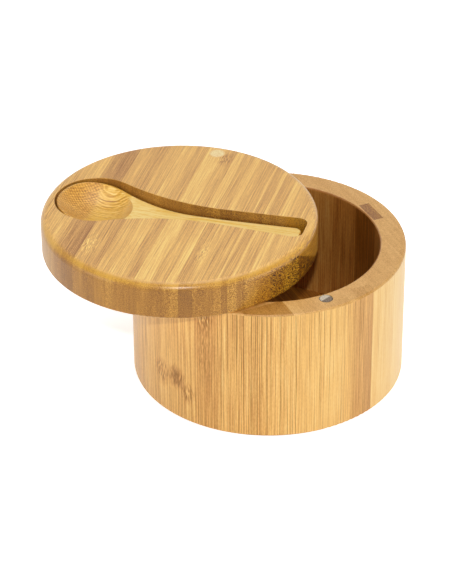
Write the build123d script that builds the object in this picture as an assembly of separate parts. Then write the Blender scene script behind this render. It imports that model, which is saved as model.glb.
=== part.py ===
"""Round bamboo salt box.

A turned box with a thick wall, a lid of the same diameter that swivels sideways on an upright screw
in the wall, a pair of disc magnets that hold it shut, and a small spoon that lies in a recess in the
top of the lid. The screw's head turns in a counterbore of the lid, under a round wooden plug.

Millimetres, +Z up. The origin is the centre of the underside, the screw is on the +Y side and the
rim magnet is nearly opposite it. The lid is drawn swung open, which is where it is at rest.
"""
from math import acos, atan, atan2, cos, degrees, hypot, radians, sin, sqrt, tan
import os

from build123d import *

# ---- box ----------------------------------------------------------------------------------------
BOX_RADIUS = 63.5           # outside of the wall, and of the lid
WALL_HEIGHT = 65.5          # from the table to the rim
WALL_THICKNESS = 12.0
FLOOR_THICKNESS = 8.0       # board glued into a rabbet from below, flush with the underside
FLOOR_LEDGE = 4.0           # how far the floor board reaches in under the wall
EDGE_ROUND = 0.8            # rim, underside and lower edge of the lid

# ---- lid ----------------------------------------------------------------------------------------
LID_THICKNESS = 17.5
LID_TOP_ROUND = 4.0
LID_GAP = 0.2               # between rim and lid
OPEN_ANGLE = 43.2           # how far the lid is swung clockwise, seen from above

# ---- magnets ------------------------------------------------------------------------------------
MAGNET_RADIUS = 3.175
MAGNET_THICKNESS = 3.175
MAGNET_EDGE = 0.2           # chamfer of the magnets
POCKET_WOOD = 0.825         # wood left between the magnet's pocket and the bore of the box
CATCH_TURN = 1.6            # degrees by which the magnets miss the point straight opposite the screw

# ---- pivot screw and plug -----------------------------------------------------------------------
THREAD_RADIUS = 2.0
THREAD_LENGTH = 22.0        # screwed into the wall
SHANK_RADIUS = 2.5          # smooth part that the lid turns on
HEAD_RADIUS = 3.3
HEAD_THICKNESS = 2.6
HEAD_EDGE = 0.4             # chamfer of the head and of the screw's tip
SOCKET_ACROSS = 3.0         # hexagon socket in the head
SOCKET_DEPTH = 1.5
COUNTERBORE_DEPTH = 9.0
PLUG_RADIUS = 3.8
GLUE_GAP = 0.02             # radial, around the plug, the magnets, the thread and the floor board
SHANK_GAP = 0.03            # radial, between shank and lid
HEAD_GAP = 0.3              # above and below the head

# ---- spoon recess -------------------------------------------------------------------------------
# Drawn along its own X axis through the middle of the lid: bowl end at -X, handle end at +X.
RECESS_TURN = 2.3           # degrees from square to the line between screw and lid middle
RECESS_DEPTH = 10.0
RECESS_LAND = 0.3           # flat left between either end and the lid's rounded edge
RECESS_EDGE = 0.2           # rounding of its upper edge
RECESS_BOWL_RADIUS = 19.3
RECESS_NECK_HALF = 6.4      # half width at the narrowest place
RECESS_NECK_PLACE = 15.8    # that place, from the middle of the lid
RECESS_END_HALF = 8.4       # half width at the handle end
RECESS_CORNER = 4.5         # corners of the handle end

# ---- spoon --------------------------------------------------------------------------------------
SPOON_SIDE_GAP = 1.0        # all round, between spoon and recess
SPOON_END_GAP = 2.7         # at the handle end
SPOON_TIP_DROP = 0.25       # tip of the bowl below the top of the lid
SPOON_LIP_RADIUS = 67.0     # the top of the bowl, arched near its tip
SPOON_NECK_THICKNESS = 4.7
SPOON_NECK_PLACE = -5.0     # thinnest place, from the middle of the lid
SPOON_HANDLE_THICKNESS = 5.3
SPOON_HANDLE_PLACE = 14.0   # where the handle reaches its full thickness
SPOON_TOP_ROUND = 0.7
SPOON_UNDER_ROUND = 3.2
HOLLOW_RIM = 1.6            # width of the bowl's rim around the hollow
HOLLOW_DEPTH = 5.7
HOLLOW_ROUND = 0.3

# ---- worked out from the above ------------------------------------------------------------------
BORE_RADIUS = BOX_RADIUS - WALL_THICKNESS
FITTING_RADIUS = BORE_RADIUS + POCKET_WOOD + MAGNET_RADIUS      # circle of the screw and magnets
LID_BOTTOM = WALL_HEIGHT + LID_GAP
LID_TOP = LID_BOTTOM + LID_THICKNESS
RECESS_FLOOR = LID_TOP - RECESS_DEPTH
RECESS_END = BOX_RADIUS - LID_TOP_ROUND - RECESS_LAND
COUNTERBORE_FLOOR = LID_TOP - COUNTERBORE_DEPTH
HEAD_BOTTOM = COUNTERBORE_FLOOR + HEAD_GAP
HEAD_TOP = HEAD_BOTTOM + HEAD_THICKNESS

SCREW_PLACE = Vector(0, FITTING_RADIUS)
MAGNET_PLACE = SCREW_PLACE.rotate(Axis.Z, 180 + CATCH_TURN)
SCREW_AXIS = Axis((SCREW_PLACE.X, SCREW_PLACE.Y, 0), (0, 0, 1))


def disc(radius, bottom, top, place=Vector(0, 0)):
    """Upright cylinder from one height to another."""
    cylinder = Cylinder(radius, top - bottom, align=(Align.CENTER, Align.CENTER, Align.MIN))
    return Pos(place.X, place.Y, bottom) * cylinder


def edges_at(solid, height):
    """All edges of a solid that lie flat at one height."""
    found = solid.edges().filter_by(lambda edge: abs(edge.center().Z - height) < 1e-4)
    return found.filter_by(lambda edge: edge.bounding_box().size.Z < 1e-4)


def swung_open(solid):
    """The lid and what it carries, turned from shut to where the lid rests."""
    return solid.rotate(SCREW_AXIS, -OPEN_ANGLE)


# ---- outline shared by recess and spoon ---------------------------------------------------------
def spoon_outline(inset, end):
    """Plan of the recess moved inwards by inset, with its handle end at X = end.

    A round bowl, a hollow flank that touches the bowl and narrows to the neck, and a straight
    side that flares from there to the end.
    """
    bowl_x = RECESS_BOWL_RADIUS - RECESS_END
    reach = RECESS_NECK_PLACE - bowl_x
    spare = reach**2 + RECESS_NECK_HALF**2 - RECESS_BOWL_RADIUS**2
    flank = spare / (2 * (RECESS_BOWL_RADIUS - RECESS_NECK_HALF))
    flank_y = RECESS_NECK_HALF + flank

    to_end = hypot(RECESS_END - RECESS_NECK_PLACE, flank_y - RECESS_END_HALF)
    flare = atan2(RECESS_END - RECESS_NECK_PLACE, flank_y - RECESS_END_HALF) - acos(flank / to_end)

    bowl = RECESS_BOWL_RADIUS - inset
    flank += inset
    to_flank = atan2(flank_y, reach)
    neck = (RECESS_NECK_PLACE, flank_y - flank)
    tip = (bowl_x - bowl, 0)
    joins = (bowl_x + bowl * cos(to_flank), bowl * sin(to_flank))
    straightens = (RECESS_NECK_PLACE + flank * sin(flare), flank_y - flank * cos(flare))
    corner = (end, straightens[1] + (end - straightens[0]) * tan(flare))

    upper = [
        ThreePointArc(tip, bowl_point(bowl_x, bowl, to_flank), joins),
        ThreePointArc(joins, arc_middle(neck[0], flank_y, flank, joins, straightens), straightens),
        Line(straightens, corner),
    ]
    lower = [edge.mirror(Plane.XZ) for edge in upper]
    end_line = Line(corner, (corner[0], -corner[1]))
    face = make_face(Curve() + upper + [end_line] + lower)
    corners = face.vertices().filter_by(lambda vertex: abs(vertex.X - end) < 1e-6)
    return fillet(corners, RECESS_CORNER - inset)


def bowl_point(bowl_x, bowl, to_flank):
    """Point of the bowl's circle halfway between its tip and where the flank joins it."""
    angle = (radians(180) + to_flank) / 2
    return (bowl_x + bowl * cos(angle), bowl * sin(angle))


def arc_middle(x, y, radius, start, end):
    """Middle of the arc about (x, y) that runs between two points below its centre."""
    first = atan2(start[1] - y, start[0] - x)
    last = atan2(end[1] - y, end[0] - x)
    angle = (first + last) / 2
    return (x + radius * cos(angle), y + radius * sin(angle))


# ---- box ----------------------------------------------------------------------------------------
def make_box_wall():
    """Thick turned ring with a rabbet for the floor, and holes in its rim for screw and magnet."""
    wall = disc(BOX_RADIUS, 0, WALL_HEIGHT) - disc(BORE_RADIUS, 0, WALL_HEIGHT)
    wall -= disc(BORE_RADIUS + FLOOR_LEDGE, 0, FLOOR_THICKNESS)
    outside_edge = edges_at(wall, 0).sort_by(Edge.length)[-1]
    wall = fillet([outside_edge] + list(edges_at(wall, WALL_HEIGHT)), EDGE_ROUND)
    wall -= disc(THREAD_RADIUS + GLUE_GAP, WALL_HEIGHT - THREAD_LENGTH, WALL_HEIGHT, SCREW_PLACE)
    pocket = disc(MAGNET_RADIUS + GLUE_GAP, WALL_HEIGHT - MAGNET_THICKNESS, WALL_HEIGHT, MAGNET_PLACE)
    return wall - pocket


def make_floor_board():
    return disc(BORE_RADIUS + FLOOR_LEDGE - GLUE_GAP, 0, FLOOR_THICKNESS)


def make_magnet(bottom):
    magnet = disc(MAGNET_RADIUS, bottom, bottom + MAGNET_THICKNESS, MAGNET_PLACE)
    return chamfer(magnet.edges().filter_by(GeomType.CIRCLE), MAGNET_EDGE)


def make_pivot_screw():
    """Thread in the wall, smooth shank up through the lid, and a round head with a hexagon socket."""
    thread = disc(THREAD_RADIUS, WALL_HEIGHT - THREAD_LENGTH, WALL_HEIGHT, SCREW_PLACE)
    thread = chamfer(edges_at(thread, WALL_HEIGHT - THREAD_LENGTH), HEAD_EDGE)
    shank = disc(SHANK_RADIUS, WALL_HEIGHT, HEAD_BOTTOM, SCREW_PLACE)
    head = disc(HEAD_RADIUS, HEAD_BOTTOM, HEAD_TOP, SCREW_PLACE)
    head = chamfer(edges_at(head, HEAD_TOP), HEAD_EDGE)
    hexagon = RegularPolygon(SOCKET_ACROSS / 2, 6, major_radius=False)
    socket = extrude(Pos(SCREW_PLACE.X, SCREW_PLACE.Y, HEAD_TOP) * hexagon, -SOCKET_DEPTH)
    return thread + shank + head - socket


# ---- lid ----------------------------------------------------------------------------------------
def make_lid_blank():
    """Disc with a rounded top edge."""
    lid = disc(BOX_RADIUS, LID_BOTTOM, LID_TOP)
    lid = fillet(edges_at(lid, LID_TOP), LID_TOP_ROUND)
    return fillet(edges_at(lid, LID_BOTTOM), EDGE_ROUND)


def make_lid():
    """Lid with the spoon recess, the counterbored hole for the screw and the magnet's pocket."""
    plan = Pos(0, 0, RECESS_FLOOR) * Rot(0, 0, RECESS_TURN) * spoon_outline(0, RECESS_END)
    lid = make_lid_blank() - extrude(plan, RECESS_DEPTH, dir=(0, 0, 1))
    rim_radius = BOX_RADIUS - LID_TOP_ROUND
    recess_edges = edges_at(lid, LID_TOP).filter_by(lambda edge: not is_round(edge, rim_radius))
    lid = fillet(recess_edges, min(RECESS_EDGE, 0.8 * RECESS_LAND))
    lid -= disc(SHANK_RADIUS + SHANK_GAP, LID_BOTTOM, COUNTERBORE_FLOOR, SCREW_PLACE)
    lid -= disc(PLUG_RADIUS + GLUE_GAP, COUNTERBORE_FLOOR, LID_TOP, SCREW_PLACE)
    return lid - disc(MAGNET_RADIUS + GLUE_GAP, LID_BOTTOM, LID_BOTTOM + MAGNET_THICKNESS, MAGNET_PLACE)


def make_pivot_plug():
    """Round plug over the screw's head, levelled with the top of the lid."""
    return disc(PLUG_RADIUS, HEAD_TOP + HEAD_GAP, LID_TOP, SCREW_PLACE) & make_lid_blank()


def is_round(edge, radius):
    """Whether an edge is part of a circle of that radius."""
    return edge.geom_type == GeomType.CIRCLE and abs(edge.radius - radius) < 1e-4


# ---- spoon --------------------------------------------------------------------------------------
def level_curve(start, end, first_radius):
    """Two arcs that leave start level, arrive at end level and touch each other on the way."""
    along = end[0] - start[0]
    rise = end[1] - start[1]
    turn = 2 * atan(abs(rise) / along)
    side = 1 if rise > 0 else -1
    first = JernArc(start, (1, 0), first_radius, side * degrees(turn))
    second_radius = along / sin(turn) - first_radius
    return [first, JernArc(first @ 1, first % 1, second_radius, -side * degrees(turn))]


def spoon_top(tip_x):
    """Side view of the spoon's top: lip, slope down to the neck, and rise to the handle."""
    tip = (tip_x, RECESS_DEPTH - SPOON_TIP_DROP)
    neck = (SPOON_NECK_PLACE, SPOON_NECK_THICKNESS)
    handle = (SPOON_HANDLE_PLACE, SPOON_HANDLE_THICKNESS)
    rise = SPOON_HANDLE_THICKNESS - SPOON_NECK_THICKNESS
    along = SPOON_HANDLE_PLACE - SPOON_NECK_PLACE
    even_radius = along / sin(2 * atan(rise / along)) / 2
    return level_curve(tip, neck, SPOON_LIP_RADIUS) + level_curve(neck, handle, even_radius)


def side_profile(top, end_x):
    """Side view of the whole spoon, upright in the XZ plane: its top and a flat underside."""
    tip = top[0] @ 0
    handle = top[-1] @ 1
    rest = Polyline(handle, (end_x, handle.Y), (end_x, 0), (tip.X, 0), tip)
    return Plane.XZ * make_face(Curve() + top + [rest])


def height_at(arc, x):
    """Height of an arc of the top at X = x."""
    centre = arc.arc_center
    side = 1 if (arc @ 0).Y > centre.Y else -1
    return centre.Y + side * sqrt(arc.radius**2 - (x - centre.X) ** 2)


def make_hollow(bowl_x, bowl, top):
    """Ball that hollows the bowl, square to the slope between the two ends of its rim."""
    lip, slope = top[:2]
    rim = bowl - HOLLOW_RIM
    rim_tip = Vector(bowl_x - rim, height_at(lip, bowl_x - rim))
    rim_neck = Vector(bowl_x + rim, height_at(slope, bowl_x + rim))
    chord = rim_neck - rim_tip
    ball = ((chord.length / 2) ** 2 + HOLLOW_DEPTH**2) / (2 * HOLLOW_DEPTH)
    centre = (rim_tip + rim_neck) / 2 + chord.normalized().rotate(Axis.Z, 90) * (ball - HOLLOW_DEPTH)
    return Pos(centre.X, 0, centre.Y) * Sphere(ball)


def make_spoon():
    """Flat spoon with an upturned round bowl, cut to the recess's outline."""
    bowl_x = RECESS_BOWL_RADIUS - RECESS_END
    bowl = RECESS_BOWL_RADIUS - SPOON_SIDE_GAP
    end_x = RECESS_END - SPOON_END_GAP
    blank = extrude(spoon_outline(SPOON_SIDE_GAP, end_x), RECESS_DEPTH, dir=(0, 0, 1))
    top = spoon_top(bowl_x - bowl)
    side = extrude(side_profile(top, end_x), 2 * bowl, both=True)
    spoon = blank & side
    spoon = fillet(edges_at(spoon, 0), min(SPOON_UNDER_ROUND, 0.8 * SPOON_NECK_THICKNESS))
    spoon = fillet(top_edges(spoon), SPOON_TOP_ROUND)
    spoon -= make_hollow(bowl_x, bowl, top)
    hollow = spoon.faces().filter_by(GeomType.SPHERE).sort_by(Face.area)[-1]
    spoon = fillet(hollow.edges(), HOLLOW_ROUND)
    return Pos(0, 0, RECESS_FLOOR) * Rot(0, 0, RECESS_TURN) * spoon


def top_edges(spoon):
    """The sharp edges around the spoon's top."""
    low = 0.85 * SPOON_NECK_THICKNESS
    around = spoon.edges().filter_by(lambda edge: edge.bounding_box().min.Z > low)
    return around.filter_by(lambda edge: not is_across(edge))


def is_across(edge):
    """Whether an edge runs across the spoon from side to side between two faces of its top."""
    ends = [edge @ 0, edge @ 1]
    return abs(ends[0].X - ends[1].X) < 1e-6 and abs(ends[0].X) < RECESS_END - 2 * RECESS_CORNER


# ---- all pieces ---------------------------------------------------------------------------------
PIECES = {
    "box_wall": make_box_wall(),
    "floor_board": make_floor_board(),
    "rim_magnet": make_magnet(WALL_HEIGHT - MAGNET_THICKNESS),
    "pivot_screw": make_pivot_screw(),
    "lid": swung_open(make_lid()),
    "lid_magnet": swung_open(make_magnet(LID_BOTTOM)),
    "pivot_plug": swung_open(make_pivot_plug()),
    "spoon": swung_open(make_spoon()),
}

os.makedirs("parts", exist_ok=True)
for name, piece in PIECES.items():
    export_step(piece, f"parts/{name}.step")
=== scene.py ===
"""Looks of a round bamboo salt box with a swivel lid: bamboo, nickel and steel, in a white studio."""
from dataclasses import dataclass
import math

import bpy
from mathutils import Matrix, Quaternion, Vector


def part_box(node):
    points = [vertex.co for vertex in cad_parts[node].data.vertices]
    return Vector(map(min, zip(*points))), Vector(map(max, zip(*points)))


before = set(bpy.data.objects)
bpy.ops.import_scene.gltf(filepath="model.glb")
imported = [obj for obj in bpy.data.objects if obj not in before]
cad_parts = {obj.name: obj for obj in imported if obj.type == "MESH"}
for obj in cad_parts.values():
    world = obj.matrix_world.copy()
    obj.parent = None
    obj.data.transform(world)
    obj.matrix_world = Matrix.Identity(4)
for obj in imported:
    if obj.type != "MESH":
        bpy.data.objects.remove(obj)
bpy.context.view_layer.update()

MM = 0.001               # metres in a millimetre

# ---- camera, in metres and degrees: azimuth 0 looks along +Y ---------------------------------------
CAMERA_AZIMUTH = -26.08
CAMERA_ELEVATION = 34.22
CAMERA_DISTANCE = 1.2229
CAMERA_AIM = (-0.01786, 0.00832, 0.03732)
CAMERA_ROLL = -0.363
CAMERA_LENS = 158.5


# ---- places on the object, worked out from the frame -----------------------------------------------
def centre_of(node):
    """Middle of a CAD node's box, in metres."""
    return sum(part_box(node), Vector()) / 2


LID_CENTRE = centre_of("lid")
PLUG_CENTRE = centre_of("pivot_plug")
WALL_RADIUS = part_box("box_wall")[1].x / MM
RECESS_TURN = 2.3        # degrees between the lid's strips and its line to the pivot


def lid_turn():
    """Direction of the recess, bowl end to handle end, in degrees. The lid's fibres lie across it."""
    to_pivot = PLUG_CENTRE - LID_CENTRE
    return math.degrees(math.atan2(to_pivot.y, to_pivot.x)) - 90 + RECESS_TURN


# ---- shader nodes ----------------------------------------------------------------------------------
def linear(colour):
    """sRGB bytes as a linear RGBA colour."""
    parts = [byte / 255 for byte in colour]
    return [c / 12.92 if c <= 0.04045 else ((c + 0.055) / 1.055) ** 2.4 for c in parts] + [1.0]


def grey(value):
    """A number as an RGBA colour."""
    return (value, value, value, 1.0)


class Nodes:
    """A node tree, with short calls that add a node and return its output."""

    def __init__(self, tree):
        self.nodes = tree.nodes
        self.links = tree.links

    def put(self, socket, value):
        """Links a socket to an output, or sets it to a number, vector or colour."""
        if isinstance(value, bpy.types.NodeSocket):
            self.links.new(value, socket)
        else:
            socket.default_value = value

    def fill(self, node, values):
        """Fills a node's first inputs in order, and returns its first output."""
        for socket, value in zip(node.inputs, values):
            self.put(socket, value)
        return node.outputs[0]

    def math(self, operation, *values):
        node = self.nodes.new("ShaderNodeMath")
        node.operation = operation
        return self.fill(node, values)

    def add(self, first, *others):
        for value in others:
            first = self.math("ADD", first, value)
        return first

    def times(self, first, *others):
        for value in others:
            first = self.math("MULTIPLY", first, value)
        return first

    def one_minus(self, value):
        return self.math("SUBTRACT", 1.0, value)

    def about_zero(self, value, span):
        """A 0 to 1 value as one from minus half the span to plus half of it."""
        return self.times(self.math("SUBTRACT", value, 0.5), span)

    def between(self, factor, first, second):
        """The first number where the factor is 0, and the second where it is 1."""
        return self.add(self.times(first, self.one_minus(factor)), self.times(second, factor))

    def step(self, value, low, high):
        """0 at low and 1 at high, with a smooth change between them."""
        node = self.nodes.new("ShaderNodeMapRange")
        node.interpolation_type = "SMOOTHSTEP"
        if low < high:
            return self.fill(node, (value, low, high, 0.0, 1.0))
        return self.fill(node, (value, high, low, 1.0, 0.0))

    def vector(self, operation, *values):
        node = self.nodes.new("ShaderNodeVectorMath")
        node.operation = operation
        self.fill(node, values)
        return node.outputs["Value" if operation == "LENGTH" else "Vector"]

    def split(self, vector):
        node = self.nodes.new("ShaderNodeSeparateXYZ")
        self.fill(node, [vector])
        return node.outputs

    def join(self, x, y, z):
        return self.fill(self.nodes.new("ShaderNodeCombineXYZ"), (x, y, z))

    def turned(self, vector, place, turn, scale):
        """A vector in axes that are moved, turned by degrees and scaled."""
        node = self.nodes.new("ShaderNodeMapping")
        node.vector_type = "TEXTURE"
        self.put(node.inputs["Location"], place)
        self.put(node.inputs["Rotation"], [math.radians(angle) for angle in turn])
        self.put(node.inputs["Scale"], (scale, scale, scale))
        self.put(node.inputs["Vector"], vector)
        return node.outputs[0]

    def noise(self, vector, detail=1.0, roughness=0.5):
        node = self.nodes.new("ShaderNodeTexNoise")
        self.put(node.inputs["Vector"], vector)
        self.put(node.inputs["Scale"], 1.0)
        self.put(node.inputs["Detail"], detail)
        self.put(node.inputs["Roughness"], roughness)
        return node.outputs[0]

    def random(self, vector):
        node = self.nodes.new("ShaderNodeTexWhiteNoise")
        self.put(node.inputs["Vector"], vector)
        return node.outputs["Value"]

    def ramp(self, factor, stops, kind="LINEAR"):
        """Colour ramp of (position, RGBA) stops."""
        node = self.nodes.new("ShaderNodeValToRGB")
        node.color_ramp.interpolation = kind
        elements = node.color_ramp.elements
        while len(elements) < len(stops):
            elements.new(1.0)
        for element, (position, colour) in zip(elements, stops):
            element.position = position
            element.color = colour
        return self.fill(node, [factor])

    def mix(self, factor, first, second):
        """The first colour where the factor is 0, and the second where it is 1."""
        node = self.nodes.new("ShaderNodeMix")
        node.data_type = "RGBA"
        self.put(node.inputs["Factor"], factor)
        colours = [socket for socket in node.inputs if socket.type == "RGBA"]
        self.put(colours[0], first)
        self.put(colours[1], second)
        return next(socket for socket in node.outputs if socket.type == "RGBA")


class Finish(Nodes):
    """A material, with the place and the normal in axes of its own, in millimetres."""

    def __init__(self, name, place=(0, 0, 0), turn=(0, 0, 0)):
        self.material = bpy.data.materials.new(name)
        self.material.use_nodes = True
        super().__init__(self.material.node_tree)
        self.surface = self.nodes["Principled BSDF"].inputs
        coordinates = self.nodes.new("ShaderNodeTexCoord").outputs
        self.at = self.turned(coordinates["Object"], place, turn, MM)
        self.normal = self.turned(coordinates["Normal"], (0, 0, 0), turn, 1.0)

    def paint(self, colour):
        """Sets the colour of the surface, and returns the material."""
        self.put(self.surface["Base Color"], colour)
        return self.material

    def bump(self, height, distance):
        node = self.nodes.new("ShaderNodeBump")
        self.put(node.inputs["Distance"], distance)
        self.put(node.inputs["Height"], height)
        self.put(self.surface["Normal"], node.outputs[0])


# ---- bamboo ----------------------------------------------------------------------------------------
# A tone is a number, 0 for the darkest wood and 1 for the palest. Each piece has its colours from dark
# to pale, one set for faces along the fibres and one for cut ends. Sizes are in millimetres, and the
# fibres lie along the Y of the finish.


@dataclass
class Mark:
    """Kind of mark in the wood: noise that is drawn out along the fibres."""
    width: float
    length: float
    span: float = 1.0        # how far it changes the tone
    detail: float = 1.0
    roughness: float = 0.5


SWAY = Mark(25, 90)                         # bends all lines
SWIRL = Mark(1.4, 3.5)                      # bends the lines in a knot
HAIR = Mark(0.38, 22, 1.4)                  # short fine lines
LINE = Mark(0.38, 90, 1.2, roughness=0.6)   # long fine lines
RIB = Mark(1.3, 120, 0.5, detail=0)         # long broader lines
PATCH = Mark(5.0, 160, 0.2)
GRIT = Mark(0.45, 1.6, 0.5)
STREAK = Mark(0.30, 110, -0.5, detail=0)    # sparse dark lines
STREAK_EDGE = (0.58, 0.70)                  # noise at which a streak starts and is full
FLECK = Mark(0.42, 3.6)                     # flecks in a knot
# On cut ends: specks, faint layers, and how a face turns into them.
SPECK_LENGTH = 4.0
SPECK_ROUGHNESS = 0.6
SPECK_SPAN = 1.3
CUT_LAYER = (1.3, 14.0)                     # width and depth
CUT_LAYER_SPAN = 0.30
CUT_START = (0.04, 0.55)                    # turn at which cut ends start to show and show alone
CUT_RAGGED = 1.6                            # how ragged the line between the two looks is
# Gloss: its roughness, how the marks change it, and the depth of the marks.
ROUGHNESS = 0.33
HAIR_ROUGHNESS = 0.10
RUBBED_ROUGHNESS = -0.06
BUMP_DEPTH = 0.01 * MM
LINE_BUMP = 0.6                             # share of it that long lines have


@dataclass
class Knot:
    """Spot where a node of the cane shows."""
    middle: tuple
    half: tuple              # half of its size
    shade: float             # how much its tone is changed
    flecks: float            # contrast of its flecks
    swirl: float             # how far it bends the lines


@dataclass
class Grain:
    """Colours of one piece's bamboo and the strength of its marks."""
    side: list               # colours of faces along the fibres
    end: list                # colours of cut ends
    hair: object = 1.0       # short fine lines
    lines: object = 1.0      # long lines
    ribs: float = 1.0        # how much the broader of them show
    streaks: object = 0.0    # sparse dark lines
    specks: object = 1.0     # specks on cut ends
    speck_size: float = 0.5
    sway: float = 1.0        # how far the lines wander
    rubbed: object = 0.0     # 1 where the surface is rubbed smooth
    knots: tuple = ()


def tone_colour(finish, tone, colours):
    last = len(colours) - 1
    return finish.ramp(tone, [(i / last, linear(colour)) for i, colour in enumerate(colours)])


def strip_values(finish, position, strips, start):
    """Values of the glued strip at a position. Each strip has its width and then its values."""
    widths, *tables = zip(*strips)
    total = sum(widths)
    edges = [sum(widths[:i]) / total for i in range(len(widths))]
    place = finish.math("DIVIDE", finish.math("SUBTRACT", position, start), total)
    return [
        finish.ramp(place, [(edge, grey(value)) for edge, value in zip(edges, values)], "CONSTANT")
        for values in tables
    ]


def mark_noise(finish, at, mark):
    """0 to 1 from the dark to the pale of a kind of mark."""
    place = finish.vector("DIVIDE", at, (mark.width, mark.length, mark.width))
    return finish.noise(place, mark.detail, mark.roughness)


def spot_of(finish, knot, edge=0.2):
    """1 in the middle of a knot and 0 away from it."""
    offset = finish.vector("DIVIDE", finish.vector("SUBTRACT", finish.at, knot.middle), knot.half)
    return finish.step(finish.vector("LENGTH", offset), 1.0, edge)


def bent_place(finish, grain, spots):
    """The place, moved so that straight lines wander and swirl around knots."""
    x, y, z = finish.split(finish.at)
    shift = finish.about_zero(mark_noise(finish, finish.at, SWAY), grain.sway)
    swirl = finish.about_zero(mark_noise(finish, finish.at, SWIRL), SWIRL.span)
    for spot, knot in zip(spots, grain.knots):
        shift = finish.add(shift, finish.times(swirl, spot, knot.swirl))
    return finish.join(finish.add(x, shift), y, finish.add(z, shift))


def side_marks(finish, grain, bent, hair, line, spots):
    """Change of tone on faces along the fibres."""
    rib, patch, grit, fleck = [mark_noise(finish, bent, mark) for mark in (RIB, PATCH, GRIT, FLECK)]
    streak = finish.step(mark_noise(finish, bent, STREAK), *STREAK_EDGE)
    change = finish.add(
        finish.times(finish.about_zero(hair, HAIR.span), grain.hair),
        finish.times(finish.about_zero(line, LINE.span), grain.lines),
        finish.times(finish.about_zero(rib, RIB.span), grain.lines, grain.ribs),
        finish.times(finish.about_zero(patch, PATCH.span), grain.lines),
        finish.times(finish.about_zero(grit, GRIT.span), grain.hair),
        finish.times(streak, grain.streaks, STREAK.span),
    )
    for spot, knot in zip(spots, grain.knots):
        flecked = finish.add(knot.shade, finish.about_zero(fleck, knot.flecks))
        change = finish.add(change, finish.times(spot, flecked))
    return change


def cut_marks(finish, grain, speck):
    """Change of tone on cut ends."""
    x, _, z = finish.split(finish.at)
    width, depth = CUT_LAYER
    place = finish.join(finish.math("DIVIDE", x, width), 0.0, finish.math("DIVIDE", z, depth))
    layer = finish.noise(place)
    specks = finish.times(finish.about_zero(speck, SPECK_SPAN), grain.specks)
    return finish.add(specks, finish.about_zero(layer, CUT_LAYER_SPAN))


def bamboo(finish, grain, tone, cut_tone, cut=0.0):
    """Gives a finish the gloss of bamboo, and returns the bamboo's colour.

    tone is for faces along the fibres and cut_tone for cut ends. cut is 1 where a face along the
    fibres looks like a cut end.
    """
    spots = [spot_of(finish, knot) for knot in grain.knots]
    bent = bent_place(finish, grain, spots)
    hair = mark_noise(finish, bent, HAIR)
    line = mark_noise(finish, bent, LINE)
    speck = mark_noise(finish, bent, Mark(grain.speck_size, SPECK_LENGTH, roughness=SPECK_ROUGHNESS))

    finish.surface["Specular IOR Level"].default_value = 0.5
    dullness = finish.add(
        ROUGHNESS, finish.times(hair, HAIR_ROUGHNESS), finish.times(grain.rubbed, RUBBED_ROUGHNESS)
    )
    finish.put(finish.surface["Roughness"], dullness)
    finish.bump(finish.add(hair, finish.times(line, LINE_BUMP)), BUMP_DEPTH)

    facing = finish.math("ABSOLUTE", finish.split(finish.normal)[1])
    ragged = finish.times(facing, finish.add(1.0, finish.about_zero(speck, CUT_RAGGED)))
    ending = finish.math("MAXIMUM", finish.step(ragged, *CUT_START), cut)
    side_tone = finish.add(tone, side_marks(finish, grain, bent, hair, line, spots))
    end_tone = finish.add(cut_tone, cut_marks(finish, grain, speck))
    side_colour = tone_colour(finish, side_tone, grain.side)
    return finish.mix(ending, side_colour, tone_colour(finish, end_tone, grain.end))


# ---- lid -------------------------------------------------------------------------------------------
# Its finish has X from the bowl end of the recess to its handle end, Y along the fibres, and Z up from
# the lid's middle.
LID_SIDE = [(156, 101, 46), (206, 152, 82), (238, 187, 103), (254, 219, 129)]
LID_END = [(52, 26, 14), (124, 77, 10), (174, 118, 34), (214, 162, 66)]
# Strips of the lid along X: width and tone.
LID_STRIPS = [
    (9.5, 0.50), (5.3, 0.55), (4.0, 0.60), (5.0, 0.29), (5.7, 0.20), (6.5, 0.46), (6.0, 0.36),
    (7.1, 0.52), (1.9, 0.64), (4.0, 0.62), (2.8, 0.45), (3.2, 0.40), (7.5, 0.72), (3.5, 0.53),
    (2.8, 0.45), (3.7, 0.69), (5.0, 0.44), (3.7, 0.59), (4.3, 0.49), (3.9, 0.48), (1.3, 0.68),
    (4.3, 0.44), (1.2, 0.70), (5.7, 0.44), (3.6, 0.70), (4.5, 0.54), (4.5, 0.48), (6.5, 0.54),
]
# The same way, how its cut edge looks: width, tone and strength of specks.
LID_EDGE_STRIPS = [
    (17.5, 0.76, 0.5), (5.0, 0.63, 0.5), (7.0, 0.51, 0.5), (6.0, 0.68, 0.6), (6.0, 0.58, 0.6),
    (6.0, 0.69, 0.6), (3.0, 0.75, 0.7), (4.5, 0.63, 0.6), (3.5, 0.61, 0.7), (4.0, 0.57, 0.7),
    (4.5, 0.63, 0.8), (5.0, 0.57, 0.8), (2.5, 0.53, 0.8), (2.0, 0.61, 1.0), (4.0, 0.69, 1.1),
    (6.0, 0.47, 0.9), (8.5, 0.58, 1.0), (3.0, 0.67, 0.9), (2.5, 0.54, 1.0), (3.5, 0.74, 1.6),
    (3.0, 0.58, 1.2), (4.5, 0.70, 1.8), (4.5, 0.62, 1.7), (4.5, 0.48, 3.0), (3.7, 0.64, 6.0),
    (2.8, 0.32, 2.0),
]
# At the handle end the lid's edge is one dark layer that looks like cut ends, and it is pale above.
DARK_END = (45.0, 51.0)          # along X, where that starts and is full
DARK_TOP = (5.2, 6.8)            # height at which it turns pale
DARK_FALL_START = -19.0          # along Y, where that height starts to fall
DARK_FALL_SLOPE = 15.5 / 27
DARK_END_CHANGE = -0.3           # of the tone of upright faces along the fibres
PALE_EDGE_TONE = 0.84
OLIVE_SHADE = (0.92, 0.85, 0.36)
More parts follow.
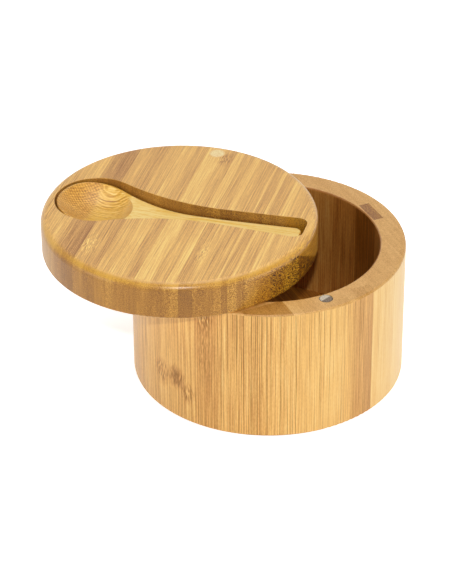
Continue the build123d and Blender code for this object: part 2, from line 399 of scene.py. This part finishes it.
# Looks that depend on how flat a face lies, 1 for level and 0 for upright: where they start and are
# full. The rounded edge is rubbed smooth between its two limits.
UPRIGHT = (0.7, 0.3)
OLIVE = (0.995, 0.5)
ROUNDED = (0.15, 0.75)
ROUNDED_CHANGE = 0.27            # of the tone of cut ends
RUBBED_FROM_TOP = (0.98, 0.80)
RUBBED_FROM_SIDE = (0.15, 0.35)
# Upright faces nearer to the lid's axis than its edge are the wall of the recess.
RECESS_REACH = (60.0, 58.0)
# Painted shade: the recess wall's colour is mixed toward this darker colour, by the share below, as
# the shade in the recess would darken it.
RECESS_PAINTED_SHADE = (140, 104, 60)
RECESS_PAINTED_SHADE_SHARE = 0.3          # of that colour in the wall's own
RECESS_WALL_SPECKS = 0.8         # how much stronger its specks are
# The marks get weaker along Y: their strength, its change, and where that starts and is full.
LID_MARKS = 0.75
LID_MARKS_CHANGE = -0.2
LID_MARKS_SPAN = (-10, 45)
LID_KNOTS = (
    Knot((7.0, 51, 8), (5, 9, 6), -0.20, flecks=1.6, swirl=1.0),
    Knot((-30.5, -38, 8), (5.0, 12, 6), 0.12, flecks=2.4, swirl=1.6),
    Knot((20.4, -32, 8), (3.6, 12, 6), 0.15, flecks=2.0, swirl=1.6),
)


def above_dark_layer(finish, along, height):
    """0 at the heights of the dark layer and 1 over them."""
    fall = finish.times(finish.math("SUBTRACT", along, DARK_FALL_START), DARK_FALL_SLOPE)
    return finish.step(finish.add(height, finish.math("MAXIMUM", fall, 0.0)), *DARK_TOP)


def lid_finish():
    finish = Finish("lid_bamboo", LID_CENTRE, (0, 0, lid_turn()))
    across, along, height = finish.split(finish.at)
    flatness = finish.math("ABSOLUTE", finish.split(finish.normal)[2])
    upright = finish.step(flatness, *UPRIGHT)
    from_axis = finish.vector("LENGTH", finish.join(across, along, 0.0))
    recess_wall = finish.times(finish.step(from_axis, *RECESS_REACH), upright)
    dark_end = finish.step(across, *DARK_END)
    above = above_dark_layer(finish, along, height)
    rubbed = finish.times(
        finish.step(flatness, *RUBBED_FROM_TOP), finish.step(flatness, *RUBBED_FROM_SIDE)
    )

    [tone] = strip_values(finish, across, LID_STRIPS, -WALL_RADIUS)
    tone = finish.add(tone, finish.times(upright, dark_end, DARK_END_CHANGE))
    cut_tone, specks = strip_values(finish, across, LID_EDGE_STRIPS, -WALL_RADIUS)
    cut_tone = finish.between(finish.times(above, dark_end), cut_tone, PALE_EDGE_TONE)
    cut_tone = finish.add(cut_tone, finish.times(finish.step(flatness, *ROUNDED), ROUNDED_CHANGE))
    strength = finish.add(
        LID_MARKS, finish.times(finish.step(along, *LID_MARKS_SPAN), LID_MARKS_CHANGE)
    )
    grain = Grain(
        LID_SIDE, LID_END, hair=strength, lines=finish.times(strength, 0.65),
        specks=finish.times(specks, finish.add(1.0, finish.times(recess_wall, RECESS_WALL_SPECKS))),
        speck_size=0.36, rubbed=rubbed, knots=LID_KNOTS,
    )
    dark_layer = finish.times(finish.one_minus(above), dark_end, upright)
    colour = bamboo(finish, grain, tone, cut_tone, dark_layer)
    # Painted shade on the wall of the recess.
    colour = finish.mix(finish.times(recess_wall, RECESS_PAINTED_SHADE_SHARE), colour, linear(RECESS_PAINTED_SHADE))
    olive = finish.times(dark_end, finish.step(flatness, *OLIVE))
    return finish.paint(finish.mix(olive, colour, finish.vector("MULTIPLY", colour, OLIVE_SHADE)))


# ---- wall ------------------------------------------------------------------------------------------
# Its finish has X to the right, Y up along the fibres, and Z forward, to the front of the box.
WALL_SIDE = [(154, 102, 28), (207, 148, 74), (240, 191, 108), (252, 221, 150)]
WALL_END = [(130, 76, 24), (186, 132, 54), (218, 166, 94), (238, 196, 126)]
# Strips of the wall along X: width, tone, and strength of fine lines and of sparse dark streaks.
WALL_STRIPS = [
    (9.8, 0.54, 0.48, 0.5), (6.6, 0.39, 0.48, 0.4), (10.0, 0.51, 0.50, 0.9), (8.0, 0.56, 0.50, 1.0),
    (9.0, 0.55, 0.50, 1.0), (9.0, 0.62, 0.44, 1.0), (10.0, 0.68, 0.38, 0.9), (8.0, 0.68, 0.36, 0.8),
    (4.6, 0.60, 0.34, 0.6), (12.0, 0.42, 0.34, 0.6), (16.1, 0.77, 0.28, 0.3), (23.9, 0.82, 0.22, 0.2),
]
WALL_KNOTS = (
    Knot((-61.4, 20.3, 15.8), (5.0, 9.0, 6.0), -0.36, flecks=2.4, swirl=0.6),
    Knot((-58.6, 22.0, 24.5), (5.0, 8.0, 7.0), -0.50, flecks=2.2, swirl=0.8),
    Knot((-55.5, 15.6, 30.9), (5.0, 7.5, 5.5), -0.24, flecks=2.4, swirl=0.6),
    Knot((-50.6, 60.0, 38.4), (4.4, 9.0, 8.0), -0.16, flecks=2.4, swirl=0.3),
    Knot((-50.6, 46.0, 38.4), (4.4, 28.0, 8.0), -0.08, flecks=0.8, swirl=0.3),
)
# The wall is glued up from blocks of this size along X and Z, and their tones differ a little.
BLOCK = (4.9, 14.7)
SLIP_SEED = 7.0
BLOCK_SEED = 3.0
CUT_TONE = 0.61
CUT_BLOCK_SPAN = 0.10
SIDE_BLOCK_SPAN = 0.05
# On its top a few blocks stand out: middle and half size along X and Z, and change of tone.
ODD_BLOCKS = [
    ((54.8, -2.3), (2.5, 7.4), -0.50),
    ((19.5, 60.5), (5.0, 7.0), -0.14),
    ((-27.0, 56.0), (9.9, 7.4), -0.30),
    ((-14.7, 56.0), (2.4, 7.4), 0.10),
]
# Outside, past an upright plane through the box, the blocks differ more.
VARIED_TURN = 63.9               # direction that the plane faces, in degrees from X to the back
VARIED_FROM = (3.0, 9.0)         # distance from the axis where that starts and is full
VARIED_TONE = -0.08
VARIED_BLOCK_SPAN = 0.30
VARIED_LINES = 0.18
# Nearer to the axis than this is the bore.
BORE_RADIUS = 52.0
BORE_FADE = 0.2
# Its strips along X: width and tone.
BORE_STRIPS = [
    (12.0, 0.40), (14.0, 0.52), (16.0, 0.46), (15.0, 0.56), (14.0, 0.54), (13.0, 0.68), (13.4, 0.62),
    (4.8, 0.46), (0.8, 0.10),
]
# Painted shade: the bore's colour is multiplied by this, which darkens the inside of the box as shade
# would.
BORE_PAINTED_SHADE = (0.59, 0.43, 0.28)
BORE_LINES = 0.5


def block_value(finish, x, forward):
    """Number of the glued block at a place, from -0.5 to 0.5."""
    width, depth = BLOCK
    column = finish.math("FLOOR", finish.math("DIVIDE", x, width))
    slip = finish.times(finish.random(finish.join(column, SLIP_SEED, 0.0)), depth)
    row = finish.math("FLOOR", finish.math("DIVIDE", finish.math("SUBTRACT", slip, forward), depth))
    return finish.about_zero(finish.random(finish.join(column, row, BLOCK_SEED)), 1.0)


def odd_block_change(finish, x, forward):
    """Change of tone on the blocks that stand out."""
    change = 0.0
    for (middle_x, middle_z), (half_x, half_z), tone in ODD_BLOCKS:
        from_x = finish.math("ABSOLUTE", finish.math("SUBTRACT", x, middle_x))
        from_z = finish.math("ABSOLUTE", finish.math("SUBTRACT", forward, middle_z))
        near_x = finish.math("LESS_THAN", from_x, half_x)
        near_z = finish.math("LESS_THAN", from_z, half_z)
        change = finish.add(change, finish.times(near_x, near_z, tone))
    return change


def varied_side(finish, x, forward):
    """1 on the side of the box where the blocks differ more."""
    turn = math.radians(VARIED_TURN)
    past = finish.add(finish.times(x, math.cos(turn)), finish.times(forward, -math.sin(turn)))
    return finish.step(past, *VARIED_FROM)


def wall_finish():
    finish = Finish("box_bamboo", turn=(90, 0, 0))
    x, _, forward = finish.split(finish.at)
    from_axis = finish.vector("LENGTH", finish.join(x, 0.0, forward))
    inside = finish.step(from_axis, BORE_RADIUS + BORE_FADE, BORE_RADIUS)
    varied = finish.times(varied_side(finish, x, forward), finish.one_minus(inside))

    block = block_value(finish, x, forward)
    cut_tone = finish.add(
        CUT_TONE, finish.times(block, CUT_BLOCK_SPAN), odd_block_change(finish, x, forward)
    )
    outer, lines, streaks = strip_values(finish, x, WALL_STRIPS, -WALL_RADIUS)
    more_varied = finish.add(VARIED_TONE, finish.times(block, VARIED_BLOCK_SPAN))
    outer = finish.add(outer, finish.times(varied, more_varied))
    [bore] = strip_values(finish, x, BORE_STRIPS, -BORE_RADIUS)
    tone = finish.add(finish.between(inside, outer, bore), finish.times(block, SIDE_BLOCK_SPAN))
    lines = finish.add(lines, finish.times(inside, BORE_LINES), finish.times(varied, VARIED_LINES))
    grain = Grain(
        WALL_SIDE, WALL_END, hair=finish.times(lines, 1.3), lines=lines, streaks=streaks,
        ribs=0.5, specks=0.7, speck_size=0.4, sway=0.6, knots=WALL_KNOTS,
    )
    colour = bamboo(finish, grain, tone, cut_tone)
    # Painted shade on the bore.
    painted_shade = finish.vector("MULTIPLY", colour, BORE_PAINTED_SHADE)
    return finish.paint(finish.mix(inside, colour, painted_shade))


# ---- floor board, plug and spoon -------------------------------------------------------------------
# Painted shade: the floor board's colour is multiplied by this, and its strips' tones are kept low,
# which darkens it as the shade inside the box would.
FLOOR_PAINTED_SHADE = (0.56, 0.40, 0.16)
FLOOR_STRIP = 6.0
FLOOR_SEED = 1.0
FLOOR_TONES = (0.10, 0.40)       # darkest and palest strip
FLOOR_CUT_TONE = 0.5


def floor_finish():
    finish = Finish("floor_bamboo", centre_of("floor_board"))
    x = finish.split(finish.at)[0]
    strip = finish.math("FLOOR", finish.math("DIVIDE", x, FLOOR_STRIP))
    darkest, palest = FLOOR_TONES
    share = finish.random(finish.join(strip, FLOOR_SEED, 0.0))
    tone = finish.add(darkest, finish.times(share, palest - darkest))
    colour = bamboo(finish, Grain(LID_SIDE, LID_END, hair=0.6, lines=0.5), tone, FLOOR_CUT_TONE)
    # Darkened by painted shade.
    return finish.paint(finish.vector("MULTIPLY", colour, FLOOR_PAINTED_SHADE))


PLUG_WOOD = [(206, 166, 102), (232, 196, 130), (245, 218, 158), (252, 232, 180)]
PLUG_TONE = 0.6
PLUG_CUT_TONE = 0.62
PLUG_RIM = (236, 190, 116)
PLUG_RIM_SPAN = (2.4, 4.2)       # from its axis


def plug_finish():
    finish = Finish("plug_bamboo", PLUG_CENTRE, (90, 0, 0))
    x, _, z = finish.split(finish.at)
    rim = finish.step(finish.vector("LENGTH", finish.join(x, 0.0, z)), *PLUG_RIM_SPAN)
    wood = bamboo(finish, Grain(PLUG_WOOD, PLUG_WOOD), PLUG_TONE, PLUG_CUT_TONE)
    return finish.paint(finish.mix(rim, wood, linear(PLUG_RIM)))


SPOON_SIDE = [(172, 108, 18), (217, 157, 34), (242, 195, 86), (254, 223, 144)]
SPOON_END = [(112, 62, 12), (180, 118, 38), (220, 162, 64), (246, 200, 96)]
SPOON_TONE = 0.90
SPOON_CUT_TONE = 0.56
# Along the spoon: where the bowl's dotted part ends, and where its wavy part starts and ends.
DOTS_SPAN = (-40.0, -44.0)
WAVES_START = (-45.0, -41.0)
WAVES_END = (-26.0, -29.0)
DOT_STEP = (1.7, 1.9)            # distance between dots, across and along
DOT_DEPTH = 0.22
WAVE_WIDTH = 0.50                # of one wave, across
WAVE_LEAN = 2.4                  # how fast the waves pass with height
WAVE_WOBBLE = 2.5
WAVE_EDGE = (0.36, 0.64)         # noise at which a wave is dark and pale
WAVE_SPAN = 0.5                  # how far the waves change the tone
WAVES_CHANGE = -0.37             # of the tone of the whole wavy part
WAVES_CUT_CHANGE = 0.10
WOBBLE_SIZE = (3.0, 7.0, 3.0)


def spoon_finish():
    finish = Finish("spoon_bamboo", LID_CENTRE, (0, 0, lid_turn() - 90))
    across, along, height = finish.split(finish.at)
    wobble = finish.noise(finish.vector("DIVIDE", finish.at, WOBBLE_SIZE))

    waves = finish.times(finish.step(along, *WAVES_START), finish.step(along, *WAVES_END))
    level = finish.add(
        finish.math("DIVIDE", across, WAVE_WIDTH), finish.times(height, WAVE_LEAN),
        finish.times(wobble, WAVE_WOBBLE),
    )
    layer = finish.step(finish.noise(finish.join(level, 0.0, 0.0)), *WAVE_EDGE)
    wavy = finish.times(waves, finish.about_zero(layer, WAVE_SPAN))

    dots = finish.step(along, *DOTS_SPAN)
    rows, files = [
        finish.math("SINE", finish.add(finish.times(place, 2 * math.pi / distance), wobble))
        for place, distance in zip((across, along), DOT_STEP)
    ]
    lattice = finish.times(rows, files, dots, DOT_DEPTH)

    grain = Grain(SPOON_SIDE, SPOON_END, hair=0.8, lines=0.6, specks=0.9, speck_size=0.36)
    tone = finish.add(SPOON_TONE, wavy, finish.times(waves, WAVES_CHANGE))
    cut_tone = finish.add(SPOON_CUT_TONE, wavy, finish.times(waves, WAVES_CUT_CHANGE), lattice)
    return finish.paint(bamboo(finish, grain, tone, cut_tone, dots))


# ---- metal -----------------------------------------------------------------------------------------
NICKEL_BRIGHT = (206, 192, 170)
# Painted reflection: the darker nickel colour is painted on one half of each magnet's face for a dark
# reflection; both halves have the same gloss.
NICKEL_PAINTED_DARK_REFLECTION = (132, 116, 100)
NICKEL_RIM = (84, 66, 48)
STEEL = (190, 190, 188)
NICKEL_ROUGHNESS = 0.22
STEEL_ROUGHNESS = 0.32
STAIN_SIZE = (1.2, 1.2, 1.2)
STAIN_DETAIL = 3
STAIN_SHADE = 0.88
RUB = Mark(0.15, 2.0, 0.12)      # how far it changes the roughness
MAGNET_SPLIT = 20.0              # direction of the line across a magnet, in degrees
MAGNET_SPLIT_HALF = 0.12         # half of that line's width
MAGNET_RIM_SPAN = (2.5, 3.1)     # from its axis
MAGNET_RIM_SHARE = 0.7           # of the rim's colour in it


def metal_colour(finish, colour):
    stain = finish.noise(finish.vector("DIVIDE", finish.at, STAIN_SIZE), STAIN_DETAIL)
    return finish.mix(stain, linear([byte * STAIN_SHADE for byte in colour]), linear(colour))


def metal_finish(name, roughness, place=(0, 0, 0)):
    """Metal that has its gloss and has no colour yet."""
    finish = Finish(name, place)
    rub = mark_noise(finish, finish.at, RUB)
    finish.surface["Metallic"].default_value = 1.0
    finish.put(finish.surface["Roughness"], finish.add(roughness, finish.times(rub, RUB.span)))
    return finish


def screw_finish():
    finish = metal_finish("screw_steel", STEEL_ROUGHNESS)
    return finish.paint(metal_colour(finish, STEEL))


def magnet_finish(node):
    """Nickel with a painted dark reflection on one side of a line through the middle."""
    finish = metal_finish(node + "_nickel", NICKEL_ROUGHNESS, centre_of(node))
    turned = finish.turned(finish.at, (0, 0, 0), (0, 0, MAGNET_SPLIT), 1.0)
    x, y, _ = finish.split(turned)
    # Painted reflection: 1 on the half of the face that is painted darker.
    painted_dark_reflection = finish.step(y, MAGNET_SPLIT_HALF, -MAGNET_SPLIT_HALF)
    colour = finish.mix(painted_dark_reflection, metal_colour(finish, NICKEL_BRIGHT), metal_colour(finish, NICKEL_PAINTED_DARK_REFLECTION))
    rim = finish.step(finish.vector("LENGTH", finish.join(x, y, 0.0)), *MAGNET_RIM_SPAN)
    return finish.paint(finish.mix(finish.times(rim, MAGNET_RIM_SHARE), colour, linear(NICKEL_RIM)))


def dress_nodes():
    finishes = {
        "box_wall": wall_finish(),
        "floor_board": floor_finish(),
        "lid": lid_finish(),
        "spoon": spoon_finish(),
        "pivot_plug": plug_finish(),
        "rim_magnet": magnet_finish("rim_magnet"),
        "lid_magnet": magnet_finish("lid_magnet"),
        "pivot_screw": screw_finish(),
    }
    for name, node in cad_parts.items():
        for slot in node.material_slots:
            slot.material = finishes[name]


# ---- studio ----------------------------------------------------------------------------------------
FLOOR_HALF = 3.0         # metres
FLOOR_DROP = 0.2 * MM
FLOOR_BOUNCE = 0.90      # how much light the floor returns
FLOOR_GLOW = 0.70        # how much of its shown white doesn't depend on the light
# Light of the surroundings by height: sine of the elevation, strength.
SKY = [(0.0, 0.96), (0.28, 0.96), (0.38, 0.04), (1.0, 0.04)]
# Lamps, in degrees, metres and watts: azimuth from the camera's, elevation, distance, width, height
# and power.
LAMPS = {
    "key_lamp": (0, 39, 1.4, 0.035, 0.035, 7.0),
    "left_softbox": (-65, 8, 1.5, 0.9, 0.4, 2.4),
    "right_softbox": (68, 8, 1.5, 0.9, 0.4, 3.2),
    "overhead_softbox": (180, 82, 1.6, 1.2, 1.2, 14.0),
}


def direction(azimuth, elevation):
    """Unit vector from the object, with azimuth measured as the camera's."""
    turn = math.radians(azimuth)
    lift = math.radians(elevation)
    return Vector((math.sin(turn) * math.cos(lift), -math.cos(turn) * math.cos(lift), math.sin(lift)))


def link(thing):
    bpy.context.scene.collection.objects.link(thing)
    return thing


def add_camera():
    data = bpy.data.cameras.new("camera")
    data.lens = CAMERA_LENS
    camera = link(bpy.data.objects.new("camera", data))
    camera.location = direction(CAMERA_AZIMUTH, CAMERA_ELEVATION) * CAMERA_DISTANCE
    aim = (Vector(CAMERA_AIM) - camera.location).to_track_quat("-Z", "Y")
    camera.rotation_mode = "QUATERNION"
    camera.rotation_quaternion = aim @ Quaternion((0, 0, 1), math.radians(CAMERA_ROLL))
    bpy.context.scene.camera = camera


def seen_directly(tree):
    """1 for camera, glossy and transmission rays, and 0 for the rays that carry light."""
    path = tree.nodes.new("ShaderNodeLightPath").outputs
    seen = tree.math("MAXIMUM", path["Is Camera Ray"], path["Is Glossy Ray"])
    return tree.math("MAXIMUM", seen, path["Is Transmission Ray"])


def add_surroundings():
    """White all round, whose light comes from low down."""
    world = bpy.data.worlds.new("studio")
    world.use_nodes = True
    bpy.context.scene.world = world
    tree = Nodes(world.node_tree)
    height = tree.split(tree.nodes.new("ShaderNodeTexCoord").outputs["Generated"])[2]
    light = tree.ramp(height, [(sine, grey(strength)) for sine, strength in SKY])
    background = tree.nodes["Background"]
    tree.put(background.inputs["Color"], tree.mix(seen_directly(tree), light, grey(1)))


def add_floor():
    """White floor that keeps a soft shadow of the object."""
    half = FLOOR_HALF
    corners = [(-half, -half), (half, -half), (half, half), (-half, half)]
    mesh = bpy.data.meshes.new("studio_floor")
    mesh.from_pydata([(x, y, -FLOOR_DROP) for x, y in corners], [], [(0, 1, 2, 3)])
    material = bpy.data.materials.new("studio_white")
    material.use_nodes = True
    mesh.materials.append(material)
    tree = Nodes(material.node_tree)
    tree.nodes.remove(tree.nodes["Principled BSDF"])
    lit = tree.nodes.new("ShaderNodeBsdfDiffuse")
    tree.put(lit.inputs["Color"], grey(FLOOR_BOUNCE))
    glow = tree.nodes.new("ShaderNodeEmission")
    tree.put(glow.inputs["Strength"], FLOOR_GLOW)
    shown_glow = tree.nodes.new("ShaderNodeMixShader")
    tree.put(shown_glow.inputs[0], seen_directly(tree))
    tree.put(shown_glow.inputs[2], glow.outputs[0])
    both = tree.fill(tree.nodes.new("ShaderNodeAddShader"), (lit.outputs[0], shown_glow.outputs[0]))
    tree.put(tree.nodes["Material Output"].inputs["Surface"], both)
    link(bpy.data.objects.new("studio_floor", mesh))


def add_lamp(name, azimuth, elevation, distance, width, height, power):
    """Flat lamp that is aimed at the box."""
    data = bpy.data.lights.new(name, "AREA")
    data.shape = "RECTANGLE"
    data.size = width
    data.size_y = height
    data.energy = power
    lamp = link(bpy.data.objects.new(name, data))
    lamp.location = direction(CAMERA_AZIMUTH + azimuth, elevation) * distance
    lamp.rotation_euler = (-lamp.location).to_track_quat("-Z", "Y").to_euler()


dress_nodes()
add_camera()
add_surroundings()
add_floor()
for lamp_name, lamp_values in LAMPS.items():
    add_lamp(lamp_name, *lamp_values)
bpy.context.scene.view_settings.view_transform = "Standard"
